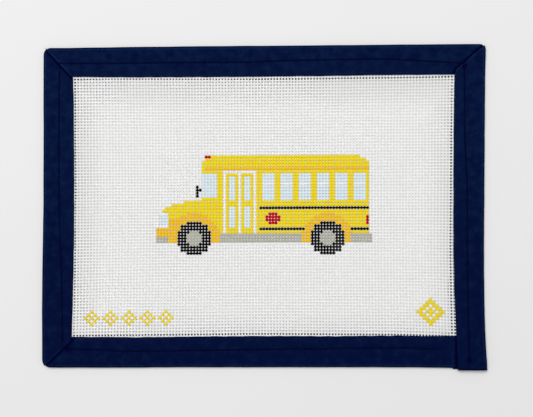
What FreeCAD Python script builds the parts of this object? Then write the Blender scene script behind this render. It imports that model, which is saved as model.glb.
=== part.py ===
"""A bound needlepoint canvas with a school bus painted on it, lying face up.

The canvas is an open, even weave of warp and weft threads. One strip of navy cloth is folded over
its four edges and sewn through, and the strip's two ends meet in the lower right corner, where the
right-hand end lies over the lower one. The picture is paint on the weft threads, counted in
stitches. Sizes are in millimetres. +X is the picture's right, +Y its top and +Z the side that is
looked at. The origin is the middle of the underside.
"""

import FreeCAD, Part
import math
import os

from FreeCAD import Vector

# Canvas, with 18 threads to the inch
PITCH = 1.411
THREAD_WIDTH = 0.78
THREAD_THICK = 0.40

# Outline of the bound canvas along its folds, from the lower left corner
TOP_WIDTH = 204.2
LEFT_HEIGHT = 147.7
TOP_RISE = 1.8
LEFT_LEAN = 0.7
RIGHT_LEAN = 0.6
CORNER_RADIUS = 2.2

# Binding cloth, doubled in each leg
CLOTH_THICK = 0.36
FRONT_LEG = 14.1
BACK_OVERLAP = 1.2
FOLD_WALL = 0.9
CANVAS_SLACK = 0.5

# The right-hand strip swings out towards its cut end, which passes the lower fold
FLARE_LENGTH = 40.8
FLARE_OUT = 2.0
TAIL = 1.5
RAMP_LENGTH = 2.5
LAP_CLEARANCE = 0.1

# Seam along the middle of the binding
SEAM_INSET = 7.6
GROOVE_WIDTH = 0.9
GROOVE_DEPTH = 0.30
SEAM_WIDTH = 0.40
SEAM_THICK = 0.25
SEAM_END = 3.6

PAINT_THICK = 0.08

# Worked out from the sizes above
LEG_THICK = 2 * CLOTH_THICK
BACK_LEG = FRONT_LEG + BACK_OVERLAP
BACK_TOP = LEG_THICK
WEFT_BOTTOM = BACK_TOP + THREAD_THICK
FRONT_BOTTOM = WEFT_BOTTOM + THREAD_THICK
EDGE_THICK = FRONT_BOTTOM + LEG_THICK
THREAD_INSET = FOLD_WALL + CANVAS_SLACK
OVERRUN = FRONT_LEG + BACK_LEG

UP = Vector(0, 0, 1)
LOWER_LEFT = Vector(0, 0, 0)
UPPER_LEFT = Vector(LEFT_LEAN, LEFT_HEIGHT, 0)
UPPER_RIGHT = Vector(LEFT_LEAN + TOP_WIDTH, LEFT_HEIGHT + TOP_RISE, 0)
FLARE_START = Vector(UPPER_RIGHT.x - RIGHT_LEAN, FLARE_LENGTH - TAIL, 0)
MIDDLE = (UPPER_LEFT + UPPER_RIGHT) / 2
FLARE_RADIUS = (FLARE_LENGTH ** 2 + FLARE_OUT ** 2) / (2 * FLARE_OUT)
RAMP_LOW = FRONT_LEG * (1 + FLARE_LENGTH / FLARE_RADIUS) + LAP_CLEARANCE
RAMP_TOP = RAMP_LOW + RAMP_LENGTH


def inward_of(start, end):
    """Unit vector into the canvas, square to an edge that runs clockwise."""
    along = (end - start).normalize()
    return Vector(along.y, -along.x, 0)


LEFT_IN = inward_of(LOWER_LEFT, UPPER_LEFT)
TOP_IN = inward_of(UPPER_LEFT, UPPER_RIGHT)
RIGHT_IN = inward_of(UPPER_RIGHT, FLARE_START)
BOTTOM_IN = Vector(0, 1, 0)
FLARE_CENTRE = FLARE_START - RIGHT_IN * FLARE_RADIUS


def mitre(a, b):
    """Direction of the mitre line between two edges, from their inward directions."""
    return (a + b).normalize()


def flare_turn(y):
    """Angle round the flare's centre, in degrees, from its start down to a height y."""
    return math.degrees(math.asin((FLARE_START.y - y) / FLARE_RADIUS))


def line_x(start, end, y):
    """Where the line through two points has the height y."""
    return start.x + (end.x - start.x) * (y - start.y) / (end.y - start.y)


def line_y(start, end, x):
    """Where the line through two points has the place x."""
    return start.y + (end.y - start.y) * (x - start.x) / (end.x - start.x)


def outline_face(steps):
    """Face inside a closed outline of points, where a pair (middle, end) is an arc."""
    here = steps[0]
    edges = []
    for step in steps[1:] + steps[:1]:
        if isinstance(step, tuple):
            edges.append(Part.Arc(here, *step).toShape())
            here = step[1]
        else:
            edges.append(Part.LineSegment(here, step).toShape())
            here = step
    return Part.Face(Part.Wire(edges))


def binding_section(origin, inward, lift):
    """Folded cross-section of the binding, its front leg raised by lift."""
    near = SEAM_INSET - GROOVE_WIDTH / 2
    far = SEAM_INSET + GROOVE_WIDTH / 2
    top = EDGE_THICK + lift
    ceiling = FRONT_BOTTOM + lift

    def at(inset, height):
        return origin + inward * inset + UP * height

    return outline_face([
        at(top / 2, top),
        (at(0, top / 2), at(top / 2, 0)),
        at(near, 0),
        at(near, GROOVE_DEPTH),
        at(far, GROOVE_DEPTH),
        at(far, 0),
        at(BACK_LEG - CLOTH_THICK, 0),
        (at(BACK_LEG, CLOTH_THICK), at(BACK_LEG - CLOTH_THICK, BACK_TOP)),
        at(FOLD_WALL, BACK_TOP),
        at(FOLD_WALL, ceiling),
        at(FRONT_LEG - CLOTH_THICK, ceiling),
        (at(FRONT_LEG, ceiling + CLOTH_THICK), at(FRONT_LEG - CLOTH_THICK, top)),
        at(far, top),
        at(far, top - GROOVE_DEPTH),
        at(near, top - GROOVE_DEPTH),
        at(near, top),
    ])


def bar_section(inset, width, bottom, height, lifted=True):
    """Maker of a rectangular cross-section, which rises with the front leg if it is lifted."""
    def make(origin, inward, lift):
        low = bottom + (lift if lifted else 0)
        corners = [(inset, low), (inset + width, low), (inset + width, low + height), (inset, low + height)]
        return outline_face([origin + inward * d + UP * z for d, z in corners])
    return make


SEAM_FRONT = bar_section(SEAM_INSET - SEAM_WIDTH / 2, SEAM_WIDTH, EDGE_THICK - GROOVE_DEPTH, SEAM_THICK)
SEAM_BACK = bar_section(SEAM_INSET - SEAM_WIDTH / 2, SEAM_WIDTH, GROOVE_DEPTH - SEAM_THICK, SEAM_THICK,
                        lifted=False)
LAP_SPACE = bar_section(-OVERRUN, OVERRUN + BACK_LEG + LAP_CLEARANCE, -EDGE_THICK, EDGE_THICK + BACK_TOP,
                        lifted=False)


def prism(corners):
    """Upright block over a flat outline, taller than the binding both ways."""
    face = Part.makePolygon(corners + corners[:1])
    face = Part.Face(face)
    face.translate(UP * -2 * EDGE_THICK)
    return face.extrude(UP * 6 * EDGE_THICK)


def straight_run(make, start, end, before=OVERRUN, after=OVERRUN):
    """A cross-section run along a straight edge, and past both of its ends."""
    along = (end - start).normalize()
    length = (end - start).Length + before + after
    return make(start - along * before, inward_of(start, end), 0).extrude(along * length)


def left_run(make):
    """A cross-section run up the left edge, between the mitres at its ends."""
    low, high = mitre(BOTTOM_IN, LEFT_IN), mitre(LEFT_IN, TOP_IN)
    room = prism([LOWER_LEFT - low * OVERRUN, UPPER_LEFT - high * OVERRUN,
                  UPPER_LEFT + high * OVERRUN, LOWER_LEFT + low * OVERRUN])
    return straight_run(make, LOWER_LEFT, UPPER_LEFT).common(room)


def top_run(make):
    """A cross-section run along the top edge, between the mitres at its ends."""
    left, right = mitre(LEFT_IN, TOP_IN), mitre(TOP_IN, RIGHT_IN)
    room = prism([UPPER_LEFT - left * OVERRUN, UPPER_RIGHT - right * OVERRUN,
                  UPPER_RIGHT + right * OVERRUN, UPPER_LEFT + left * OVERRUN])
    return straight_run(make, UPPER_LEFT, UPPER_RIGHT).common(room)


def right_run(make, stop):
    """A cross-section run down the right edge, over the lower strip, to a straight cut at stop."""
    def swung(y, lift):
        face = make(FLARE_START, RIGHT_IN, lift)
        face.rotate(FLARE_CENTRE, UP, flare_turn(y))
        return face

    def turned(face, high, low):
        return face.revolve(FLARE_CENTRE, UP, flare_turn(low) - flare_turn(high))

    upper = straight_run(make, UPPER_RIGHT, FLARE_START, after=0)
    bend = turned(swung(FLARE_START.y, 0), FLARE_START.y, RAMP_TOP)
    ramp = Part.makeLoft([swung(RAMP_TOP, 0).OuterWire, swung(RAMP_LOW, LEG_THICK).OuterWire], True, True)
    lap = turned(swung(RAMP_LOW, LEG_THICK), RAMP_LOW, stop - LEG_THICK - TAIL)
    top = mitre(TOP_IN, RIGHT_IN)
    right_side, left_side = UPPER_RIGHT.x + OVERRUN, UPPER_RIGHT.x - OVERRUN
    room = prism([UPPER_RIGHT - top * OVERRUN, Vector(right_side, stop, 0),
                  Vector(left_side, stop, 0), UPPER_RIGHT + top * OVERRUN])
    return upper.fuse([bend, ramp, lap]).removeSplitter().common(room)


def bottom_run(make, stop):
    """A cross-section run along the lower edge, from its mitre to a straight cut at stop."""
    left = mitre(BOTTOM_IN, LEFT_IN)
    room = prism([LOWER_LEFT - left * OVERRUN, LOWER_LEFT + left * OVERRUN,
                  Vector(stop, OVERRUN, 0), Vector(stop, -OVERRUN, 0)])
    return straight_run(make, Vector(UPPER_RIGHT.x, 0, 0), LOWER_LEFT).common(room)


def corner_chip(corner, a, b):
    """What rounding takes off a corner whose two edges have the inward directions a and b."""
    out = 2.0 * CORNER_RADIUS
    centre = corner + (a + b) * CORNER_RADIUS
    block = prism([corner - (a + b) * out, corner + b * CORNER_RADIUS - a * out,
                   centre, corner + a * CORNER_RADIUS - b * out])
    return block.cut(Part.makeCylinder(CORNER_RADIUS, 6 * EDGE_THICK, centre - UP * 2 * EDGE_THICK))


def build_binding():
    """The four strips of the folded edge, each from mitre to mitre or to its end."""
    lower_left = corner_chip(LOWER_LEFT, BOTTOM_IN, LEFT_IN)
    upper_left = corner_chip(UPPER_LEFT, LEFT_IN, TOP_IN)
    upper_right = corner_chip(UPPER_RIGHT, TOP_IN, RIGHT_IN)
    under_lap = FLARE_START.x - THREAD_INSET
    lap_room = right_run(LAP_SPACE, -TAIL)
    return {
        "binding_left": left_run(binding_section).cut(lower_left).cut(upper_left),
        "binding_top": top_run(binding_section).cut(upper_left).cut(upper_right),
        "binding_right": right_run(binding_section, -TAIL).cut(upper_right),
        "binding_bottom": bottom_run(binding_section, under_lap).cut(lower_left).cut(lap_room),
    }


def build_seams():
    """The seam's thread in the grooves of each strip, needle side and bobbin side."""
    lap_edge = FLARE_START.x - BACK_LEG - LAP_CLEARANCE
    seam_stop = SEAM_END - TAIL
    return {
        "seam_left": [left_run(SEAM_FRONT), left_run(SEAM_BACK)],
        "seam_top": [top_run(SEAM_FRONT), top_run(SEAM_BACK)],
        "seam_right": [right_run(SEAM_FRONT, seam_stop), right_run(SEAM_BACK, seam_stop)],
        "seam_bottom": [bottom_run(SEAM_FRONT, lap_edge), bottom_run(SEAM_BACK, lap_edge)],
    }


def build_threads():
    """The canvas: upright warp threads, and weft threads across them that carry the paint."""
    half = THREAD_WIDTH / 2
    room = THREAD_INSET + half
    left, right = UPPER_LEFT.x + room, FLARE_START.x - room
    low, high = room, UPPER_LEFT.y - room
    warp, weft = [], []
    for column in range(math.ceil((left - MIDDLE.x) / PITCH), math.floor((right - MIDDLE.x) / PITCH) + 1):
        x = MIDDLE.x + column * PITCH
        end = line_y(UPPER_LEFT, UPPER_RIGHT, x - half) - THREAD_INSET
        corner = Vector(x - half, THREAD_INSET, BACK_TOP)
        warp.append(Part.makeBox(THREAD_WIDTH, end - THREAD_INSET, THREAD_THICK, corner))
    middle_y = MIDDLE.y / 2
    for row in range(math.ceil((low - middle_y) / PITCH), math.floor((high - middle_y) / PITCH) + 1):
        y = middle_y + row * PITCH
        start = line_x(LOWER_LEFT, UPPER_LEFT, y + half) + THREAD_INSET
        end = line_x(UPPER_RIGHT, FLARE_START, y - half) - THREAD_INSET
        corner = Vector(start, y - half, WEFT_BOTTOM)
        weft.append(Part.makeBox(end - start, THREAD_WIDTH, THREAD_THICK, corner))
    return {"canvas_warp": warp, "canvas_weft": weft}


def block(left, bottom, right, top):
    """Test for the stitches of a rectangle, its edges included."""
    return lambda c, r: left <= c <= right and bottom <= r <= top


def disc(column, row, radius):
    """Test for the stitches inside a circle."""
    return lambda c, r: math.hypot(c - column, r - row) <= radius


def diamond(column, row, *sizes):
    """Test for the stitches of stepped diamonds, one in another."""
    return lambda c, r: abs(c - column) + abs(r - row) in sizes


def both(first, second):
    """Test for the stitches that two tests share."""
    return lambda c, r: first(c, r) and second(c, r)


def any_of(tests):
    """Test for the stitches that at least one of many tests takes."""
    return lambda c, r: any(test(c, r) for test in tests)


# The bus, in stitches from its lower left corner, with its nose to the left
BUS_COLUMNS = 71
BUS_ROWS = 33
BUS_RISE = 1
SKIRT_LOW = 4
SKIRT_HIGH = 6
CAB_COLUMN = 15
HOOD_COLUMNS = 17
HOOD_TOP = 17
HOOD_CURVE = 9
HOOD_DROP = 4.5
SHADE_ROW = 11
WHEEL_ROW = 5
WHEEL_RADIUS = 5.7
HUB_RADIUS = 2.3
ARCH_RADIUS = 8.4
FRONT_WHEEL = 12
REAR_WHEEL = 56
BUMPER = 5
REAR_BUMPER = 7
DOOR_COLUMN = 22
LEAF_WIDTH = 4
LINTEL_ROW = 26
SILL_ROW = 18
SASH_ROW = 23
WINDOW_COUNT = 6
WINDOW_PITCH = 6
WINDOW_WIDTH = 4
WINDOW_START = 35
RAIL_ROWS = (8, 15)
LAMP_ROW = 11
LAMP_RADIUS = 1.5
SIGN_COLUMN = 38
SIGN_RADIUS = 2.2
MIRROR_HEIGHT = 4

# Small yellow motifs in the lower corners, in stitches from the binding's inner edges
CHAIN_COUNT = 5
CHAIN_PITCH = 6
CHAIN_INSET = 6
CHAIN_RISE = 6
STAR_INSET = 7
STAR_RISE = 8

# Worked out from the stitch counts above
BUS_LEFT = -(BUS_COLUMNS // 2)
BUS_BOTTOM = BUS_RISE - BUS_ROWS // 2
TAIL_COLUMN = BUS_COLUMNS - 2
ROOF_ROW = BUS_ROWS - 1
FLOOR_ROW = SKIRT_HIGH + 1
FIRST_COLUMN = math.ceil((UPPER_LEFT.x + FRONT_LEG - MIDDLE.x) / PITCH)
LAST_COLUMN = math.floor((FLARE_START.x - FRONT_LEG - MIDDLE.x) / PITCH)
FIRST_ROW = math.ceil((FRONT_LEG - MIDDLE.y / 2) / PITCH)


def hood(c, r):
    """The bonnet, its top rounded down towards the nose."""
    fall = max(0, HOOD_CURVE - c) / HOOD_CURVE
    return 0 <= c < HOOD_COLUMNS and SKIRT_HIGH <= r <= HOOD_TOP - HOOD_DROP * fall ** 2


def body_layers():
    """Skirt and bumpers, the yellow body and bonnet, their shading, and the two rub rails."""
    side = block(CAB_COLUMN, FLOOR_ROW, TAIL_COLUMN, ROOF_ROW - 2)
    roof = any_of([block(CAB_COLUMN + 1, ROOF_ROW - 1, TAIL_COLUMN - 1, ROOF_ROW - 1),
                   block(CAB_COLUMN + 3, ROOF_ROW, TAIL_COLUMN - 3, ROOF_ROW)])
    bumper_start = BUS_COLUMNS - REAR_BUMPER
    skirt = block(HOOD_COLUMNS, SKIRT_LOW, bumper_start - 1, SKIRT_HIGH)
    bumpers = any_of([block(0, SKIRT_LOW, BUMPER - 1, SKIRT_HIGH),
                      block(bumper_start, SKIRT_LOW, BUS_COLUMNS - 1, SKIRT_HIGH)])
    arches = any_of([disc(wheel, WHEEL_ROW, ARCH_RADIUS) for wheel in (FRONT_WHEEL, REAR_WHEEL)])
    wings = block(BUMPER - 1, SKIRT_LOW, bumper_start - 1, SKIRT_HIGH)
    rail_start = DOOR_COLUMN + 2 * LEAF_WIDTH + 4
    rails = any_of([block(rail_start, row, TAIL_COLUMN, row) for row in RAIL_ROWS])
    return [
        ("grey", any_of([skirt, bumpers])),
        ("yellow", any_of([side, hood, roof])),
        ("amber", both(hood, block(0, 0, HOOD_COLUMNS, SHADE_ROW))),
        ("amber", block(CAB_COLUMN + 1, ROOF_ROW - 4, TAIL_COLUMN, ROOF_ROW - 4)),
        ("black", rails),
        ("amber", both(any_of([side, hood, wings]), arches)),
    ]


def wheel_layers():
    """Black tyres with grey hubs."""
    return [(colour, any_of([disc(wheel, WHEEL_ROW, radius) for wheel in (FRONT_WHEEL, REAR_WHEEL)]))
            for colour, radius in (("black", WHEEL_RADIUS), ("grey", HUB_RADIUS))]


def window_layers():
    """A row of side windows, each with a bare sash line, and the pane beside the driver."""
    lefts = [WINDOW_START + number * WINDOW_PITCH for number in range(WINDOW_COUNT)]
    panes = any_of([block(left, SILL_ROW, left + WINDOW_WIDTH - 1, LINTEL_ROW) for left in lefts])
    sashes = any_of([block(left, SASH_ROW, left + WINDOW_WIDTH - 1, SASH_ROW) for left in lefts])
    cab_pane = block(CAB_COLUMN, SILL_ROW + 1, CAB_COLUMN + WINDOW_WIDTH, LINTEL_ROW)
    return [("glass", panes), ("bare", sashes), ("glass", cab_pane)]


def door_layers():
    """Two leaves with an upper and a lower pane each, in a bare outline."""
    lefts = [DOOR_COLUMN + 1, DOOR_COLUMN + LEAF_WIDTH + 2]
    outline = block(DOOR_COLUMN, FLOOR_ROW, lefts[1] + LEAF_WIDTH, LINTEL_ROW + 1)
    leaves = [block(left, FLOOR_ROW, left + LEAF_WIDTH - 1, LINTEL_ROW) for left in lefts]
    spans = [(SILL_ROW, LINTEL_ROW - 1), (FLOOR_ROW + 2, SILL_ROW - 3)]
    panes = [block(left + 1, low, left + LEAF_WIDTH - 2, high) for left in lefts for low, high in spans]
    return [("bare", outline), ("yellow", any_of(leaves)), ("glass", any_of(panes))]


def fitting_layers():
    """Headlamp in its bare surround, stop disc, tail lamp, mirror and roof lamp."""
    surround = block(0, LAMP_ROW - 2, 3, LAMP_ROW + 2)
    tail_lamp = block(TAIL_COLUMN, LAMP_ROW - 1, TAIL_COLUMN, LAMP_ROW + 1)
    mirror = any_of([block(CAB_COLUMN - 2, SILL_ROW + 1, CAB_COLUMN - 2, SILL_ROW + MIRROR_HEIGHT),
                     block(CAB_COLUMN - 1, SILL_ROW + 3, CAB_COLUMN - 1, SILL_ROW + 3)])
    return [
        ("bare", surround),
        ("glass", disc(2, LAMP_ROW, LAMP_RADIUS)),
        ("red", any_of([disc(SIGN_COLUMN, LAMP_ROW + 0.5, SIGN_RADIUS), tail_lamp])),
        ("black", mirror),
        ("red", block(CAB_COLUMN + 1, ROOF_ROW, CAB_COLUMN + 2, ROOF_ROW)),
    ]


def bus_layers():
    """Paint of the bus: each colour with its test, later ones on top."""
    return body_layers() + wheel_layers() + window_layers() + door_layers() + fitting_layers()


def motif_layers():
    """A chain of small diamonds at the lower left, and one larger diamond at the lower right."""
    chain = [diamond(FIRST_COLUMN + CHAIN_INSET + k * CHAIN_PITCH, FIRST_ROW + CHAIN_RISE, 0, 2)
             for k in range(CHAIN_COUNT)]
    star = diamond(LAST_COLUMN - STAR_INSET, FIRST_ROW + STAR_RISE, 0, 1, 3, 4)
    return [("yellow", any_of(chain)), ("yellow", star)]


def colour_at(layers, column, row):
    """Colour of the last layer that takes a stitch, or bare canvas."""
    colour = "bare"
    for name, takes in layers:
        if takes(column, row):
            colour = name
    return colour


def paint_runs(layers, columns, rows, left, bottom):
    """Runs of stitches of one colour along each row, as (colour, first column, count, row)."""
    runs = []
    for row in rows:
        start, colour = columns[0], "bare"
        for column in list(columns) + [None]:
            here = "bare" if column is None else colour_at(layers, column, row)
            if here == colour and column is not None:
                continue
            stop = columns[-1] + 1 if column is None else column
            if colour != "bare":
                runs.append((colour, left + start, stop - start, bottom + row))
            start, colour = stop, here
    return runs


def build_paint():
    """Thin runs of paint on the weft threads, a node for each colour."""
    runs = paint_runs(bus_layers(), range(BUS_COLUMNS), range(BUS_ROWS), BUS_LEFT, BUS_BOTTOM)
    runs += paint_runs(motif_layers(), range(FIRST_COLUMN, LAST_COLUMN + 1), range(FIRST_ROW, 0), 0, 0)
    paint = {}
    for colour, column, count, row in runs:
        x = MIDDLE.x + (column - 0.5) * PITCH
        y = MIDDLE.y / 2 + row * PITCH - THREAD_WIDTH / 2
        run = Part.makeBox(count * PITCH, THREAD_WIDTH, PAINT_THICK, Vector(x, y, FRONT_BOTTOM))
        paint.setdefault("paint_" + colour, []).append(run)
    return paint


def build():
    """All nodes, moved so that the origin is the middle of the underside."""
    nodes = {**build_threads(), **build_binding(), **build_seams(), **build_paint()}
    shapes = {name: Part.makeCompound(piece) if isinstance(piece, list) else piece
              for name, piece in nodes.items()}
    outline = Part.makeCompound([shapes[name] for name in shapes if name.startswith("binding")])
    box = outline.optimalBoundingBox(False)
    for shape in shapes.values():
        shape.translate(Vector(-(box.XMin + box.XMax) / 2, -(box.YMin + box.YMax) / 2, -box.ZMin))
    return shapes


os.makedirs("parts", exist_ok=True)
for node, shape in build().items():
    shape.exportStep(os.path.join("parts", node + ".step"))
    print(node, len(shape.Solids), "solids", round(shape.Volume, 2), "mm3", shape.isValid())
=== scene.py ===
"""Looks of a bound needlepoint canvas with a school bus painted on it, lying face up on a table.

The woven canvas, its paint and the sewn stitches are grown by Geometry Nodes, and the folded navy
binding is a mesh worked out from its measured edges. Lengths in the classes are in millimetres, and
the meshes are in metres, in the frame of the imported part.
"""

import logging
import math
from dataclasses import dataclass, fields
from enum import Enum
from functools import partialmethod
from typing import Any, Mapping, Optional, Sequence, Union

import bmesh
import bpy
import numpy as np
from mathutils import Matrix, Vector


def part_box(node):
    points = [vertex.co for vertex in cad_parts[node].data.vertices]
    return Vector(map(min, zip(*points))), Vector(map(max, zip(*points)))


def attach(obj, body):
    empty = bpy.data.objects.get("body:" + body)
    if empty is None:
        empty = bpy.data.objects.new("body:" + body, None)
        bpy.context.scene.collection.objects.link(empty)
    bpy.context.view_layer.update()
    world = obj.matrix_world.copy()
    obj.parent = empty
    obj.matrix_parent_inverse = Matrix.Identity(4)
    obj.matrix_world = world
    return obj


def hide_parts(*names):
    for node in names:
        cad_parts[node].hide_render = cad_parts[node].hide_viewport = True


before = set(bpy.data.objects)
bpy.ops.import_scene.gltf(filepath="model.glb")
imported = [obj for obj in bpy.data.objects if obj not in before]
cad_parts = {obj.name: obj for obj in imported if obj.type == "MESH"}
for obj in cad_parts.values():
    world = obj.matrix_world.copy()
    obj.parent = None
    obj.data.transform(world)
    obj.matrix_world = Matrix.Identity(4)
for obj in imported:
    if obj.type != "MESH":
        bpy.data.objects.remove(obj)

LOG = logging.getLogger("bound_canvas")
MM = 0.001
TURN = 2 * math.pi
Colour = tuple[float, float, float]
Point = tuple[float, float]
Row = tuple[float, float, float, int]
Number = Union[float, "Wire"]


# Node trees


def socket_of(sockets: Any, key: Union[int, str]) -> bpy.types.NodeSocket:
    """Finds a node's socket.

    Args:
        sockets: The node's inputs or outputs.
        key: Its number, or the name of the one in use.

    Returns:
        The socket.
    """
    if isinstance(key, int):
        return sockets[key]
    return next(s for s in sockets if s.name == key and s.enabled)


class Wire:
    """A number in a node tree, on which Python's operators add Math nodes."""

    def __init__(self, tree: "Tree", socket: bpy.types.NodeSocket) -> None:
        """Holds one output socket of a tree."""
        self.tree = tree
        self.socket = socket

    def maths(self, operation: str, *others: Number) -> "Wire":
        """Adds a Math node for this number and the others, in the order of its sockets."""
        return self.tree.wire("ShaderNodeMath", {"operation": operation}, dict(enumerate((self, *others))))

    __add__ = __radd__ = partialmethod(maths, "ADD")
    __mul__ = __rmul__ = partialmethod(maths, "MULTIPLY")
    __sub__ = partialmethod(maths, "SUBTRACT")
    __truediv__ = partialmethod(maths, "DIVIDE")
    cosine = partialmethod(maths, "COSINE")
    least = partialmethod(maths, "MINIMUM")
    size = partialmethod(maths, "ABSOLUTE")

    def __rsub__(self, other: Number) -> "Wire":
        """Difference, from the right."""
        return self.tree.wire("ShaderNodeMath", {"operation": "SUBTRACT"}, {0: other, 1: self})

    def eased(self, low: float, high: float, start: float = 0.0, end: float = 1.0) -> "Wire":
        """Goes smoothly from start, where the number is at low, to end, where it is at high."""
        return self.tree.wire("ShaderNodeMapRange", {"interpolation_type": "SMOOTHSTEP"}, {
            "Value": self, "From Min": low, "From Max": high, "To Min": start, "To Max": end}, "Result")


class Tree:
    """A node tree, in which one method makes every node."""

    def __init__(self, tree: bpy.types.NodeTree) -> None:
        """Empties a tree for new nodes."""
        self.tree = tree
        tree.nodes.clear()

    def node(self, kind: str, settings: Optional[Mapping[str, Any]] = None,
             inputs: Optional[Mapping[Union[int, str], Any]] = None) -> bpy.types.Node:
        """Makes a node.

        Args:
            kind: Its type.
            settings: Its properties, which are set first.
            inputs: Values or wires, by its sockets' names or numbers.

        Returns:
            The node.
        """
        made = self.tree.nodes.new(kind)
        for name, value in (settings or {}).items():
            setattr(made, name, value)
        for key, value in (inputs or {}).items():
            into = socket_of(made.inputs, key)
            if isinstance(value, Wire):
                self.tree.links.new(value.socket, into)
            else:
                into.default_value = value
        return made

    def wire(self, kind: str, settings: Optional[Mapping[str, Any]] = None,
             inputs: Optional[Mapping[Union[int, str], Any]] = None, output: Union[int, str] = 0) -> Wire:
        """Makes a node, and gives the wire from one of its outputs."""
        return Wire(self, socket_of(self.node(kind, settings, inputs).outputs, output))

    def vector(self, x: Number, y: Number, z: Number) -> Wire:
        """Joins three numbers into a vector."""
        return self.wire("ShaderNodeCombineXYZ", None, {0: x, 1: y, 2: z})

    def parts(self, vector: Wire) -> tuple[Wire, Wire, Wire]:
        """Splits a vector into its three numbers."""
        split = self.node("ShaderNodeSeparateXYZ", None, {0: vector})
        return tuple(Wire(self, socket) for socket in split.outputs)

    def noise(self, x: Number, y: Number, seed: Number, detail: float = 1.0,
              roughness: float = 0.5) -> Wire:
        """Noise with features about one unit wide.

        Args:
            x: Place across.
            y: Place up.
            seed: Place in the third direction, fixed or not.
            detail: Number of finer octaves.
            roughness: How strong the finer ones are.

        Returns:
            A number from 0 to 1, mostly near 0.5.
        """
        return self.wire("ShaderNodeTexNoise", {"noise_dimensions": "3D"},
                         {"Vector": self.vector(x, y, seed), "Scale": 1.0, "Detail": detail,
                          "Roughness": roughness})


# Finishes


class ShaderTree(Tree):
    """The node tree of one material, with places in millimetres."""

    def __init__(self, name: str) -> None:
        """Starts an empty material.

        Args:
            name: What the material is called.
        """
        self.material = bpy.data.materials.new(name)
        self.material.use_nodes = True
        super().__init__(self.material.node_tree)
        place = self.wire("ShaderNodeTexCoord", None, None, "Object")
        scaled = self.wire("ShaderNodeVectorMath", {"operation": "SCALE"}, {0: place, "Scale": 1.0 / MM})
        self.x, self.y, self.z = self.parts(scaled)

    def grain(self, size: float, seed: Number, detail: float = 1.0, roughness: float = 0.5) -> Wire:
        """Noise as Tree.noise gives it, with features of one size in millimetres."""
        return self.noise(self.x / size, self.y / size, seed, detail, roughness)

    def stored(self, name: str) -> Wire:
        """Reads a number that the mesh holds at each point."""
        return self.wire("ShaderNodeAttribute", {"attribute_name": name}, None, "Fac")

    def mixed(self, factor: Number, first: Union[Wire, Colour], second: Union[Wire, Colour]) -> Wire:
        """Mixes two colours.

        Args:
            factor: 0 for the first to 1 for the second.
            first: A colour or a wire.
            second: A colour or a wire.

        Returns:
            The mixed colour.
        """
        ends = [c if isinstance(c, Wire) else (*c, 1.0) for c in (first, second)]
        return self.wire("ShaderNodeMix", {"data_type": "RGBA", "clamp_factor": True},
                         {"Factor": factor, "A": ends[0], "B": ends[1]}, "Result")

    def bump(self, height: Wire, depth: float, strength: float) -> Wire:
        """A normal from a height field, one unit of which is some depth in millimetres."""
        return self.wire("ShaderNodeBump", None,
                         {"Strength": strength, "Distance": depth * MM, "Height": height})

    def surface(self, colour: Wire, roughness: Number, normal: Wire, gloss: float,
                glow: float = 0.0) -> bpy.types.Material:
        """Ends the tree in a Principled shader.

        Args:
            colour: Base colour.
            roughness: Roughness.
            normal: Normal.
            gloss: Specular level.
            glow: How much of the light passes under the surface, over about half a millimetre.

        Returns:
            The material.
        """
        shader = self.wire("ShaderNodeBsdfPrincipled", None,
                           {"Base Color": colour, "Roughness": roughness, "Normal": normal,
                            "Specular IOR Level": gloss, "Subsurface Weight": glow,
                            "Subsurface Radius": (1.0, 1.0, 1.0), "Subsurface Scale": 0.5 * MM})
        self.node("ShaderNodeOutputMaterial", None, {"Surface": shader})
        return self.material


class Lay(Enum):
    """Which way the threads of a layer run, with how they rise at the even crossings."""

    WARP = -1.0
    WEFT = 1.0

    def turned(self, across: Any, up: Any) -> tuple[Any, Any]:
        """Gives the place along the thread, and then the place beside it."""
        return (across, up) if self is Lay.WEFT else (up, across)


@dataclass(frozen=True)
class SizedCotton:
    """White cotton thread of the canvas, stiff with size, twisted of two plies."""

    lay: Lay
    light: Colour = (0.985, 0.985, 0.955)
    shade: Colour = (0.940, 0.940, 0.903)
    twist: float = 0.86  # length of one turn of the plies
    slant: float = 1.25  # their run along the thread for each step beside it
    slub: Point = (7.0, 0.7)  # sizes along the thread and beside it
    wander: Point = (2.0, 1.4)
    fibre: Point = (0.30, 0.075)

    def material(self) -> bpy.types.Material:
        """Builds the material.

        Returns:
            The material.
        """
        tree = ShaderTree(f"sized_cotton_{self.lay.name.lower()}")
        along, beside = self.lay.turned(tree.x, tree.y)
        slub = tree.noise(along / self.slub[0], beside / self.slub[1], 3.0, 2.0)
        wander = tree.noise(along / self.wander[0], beside / self.wander[1], 8.0)
        ply = ((along + beside * self.slant + wander * 0.5) * (TURN / self.twist)).cosine()
        fibre = tree.noise((along + beside * 0.6) / self.fibre[0], beside / self.fibre[1], 12.0, 2.0)
        # Painted shade: darker in the grooves of the twist and where the fibres sink, besides the slubs'
        # random tone
        tone = (slub - 0.5) * 1.3 + (0.5 - fibre) * 0.7 + (0.25 - 0.18 * ply)
        colour = tree.mixed(tone, self.light, self.shade)
        normal = tree.bump(ply * 0.5 + fibre, 0.05, 0.5)
        return tree.surface(colour, 0.82 + 0.12 * fibre, normal, 0.1, 1.0)


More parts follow.
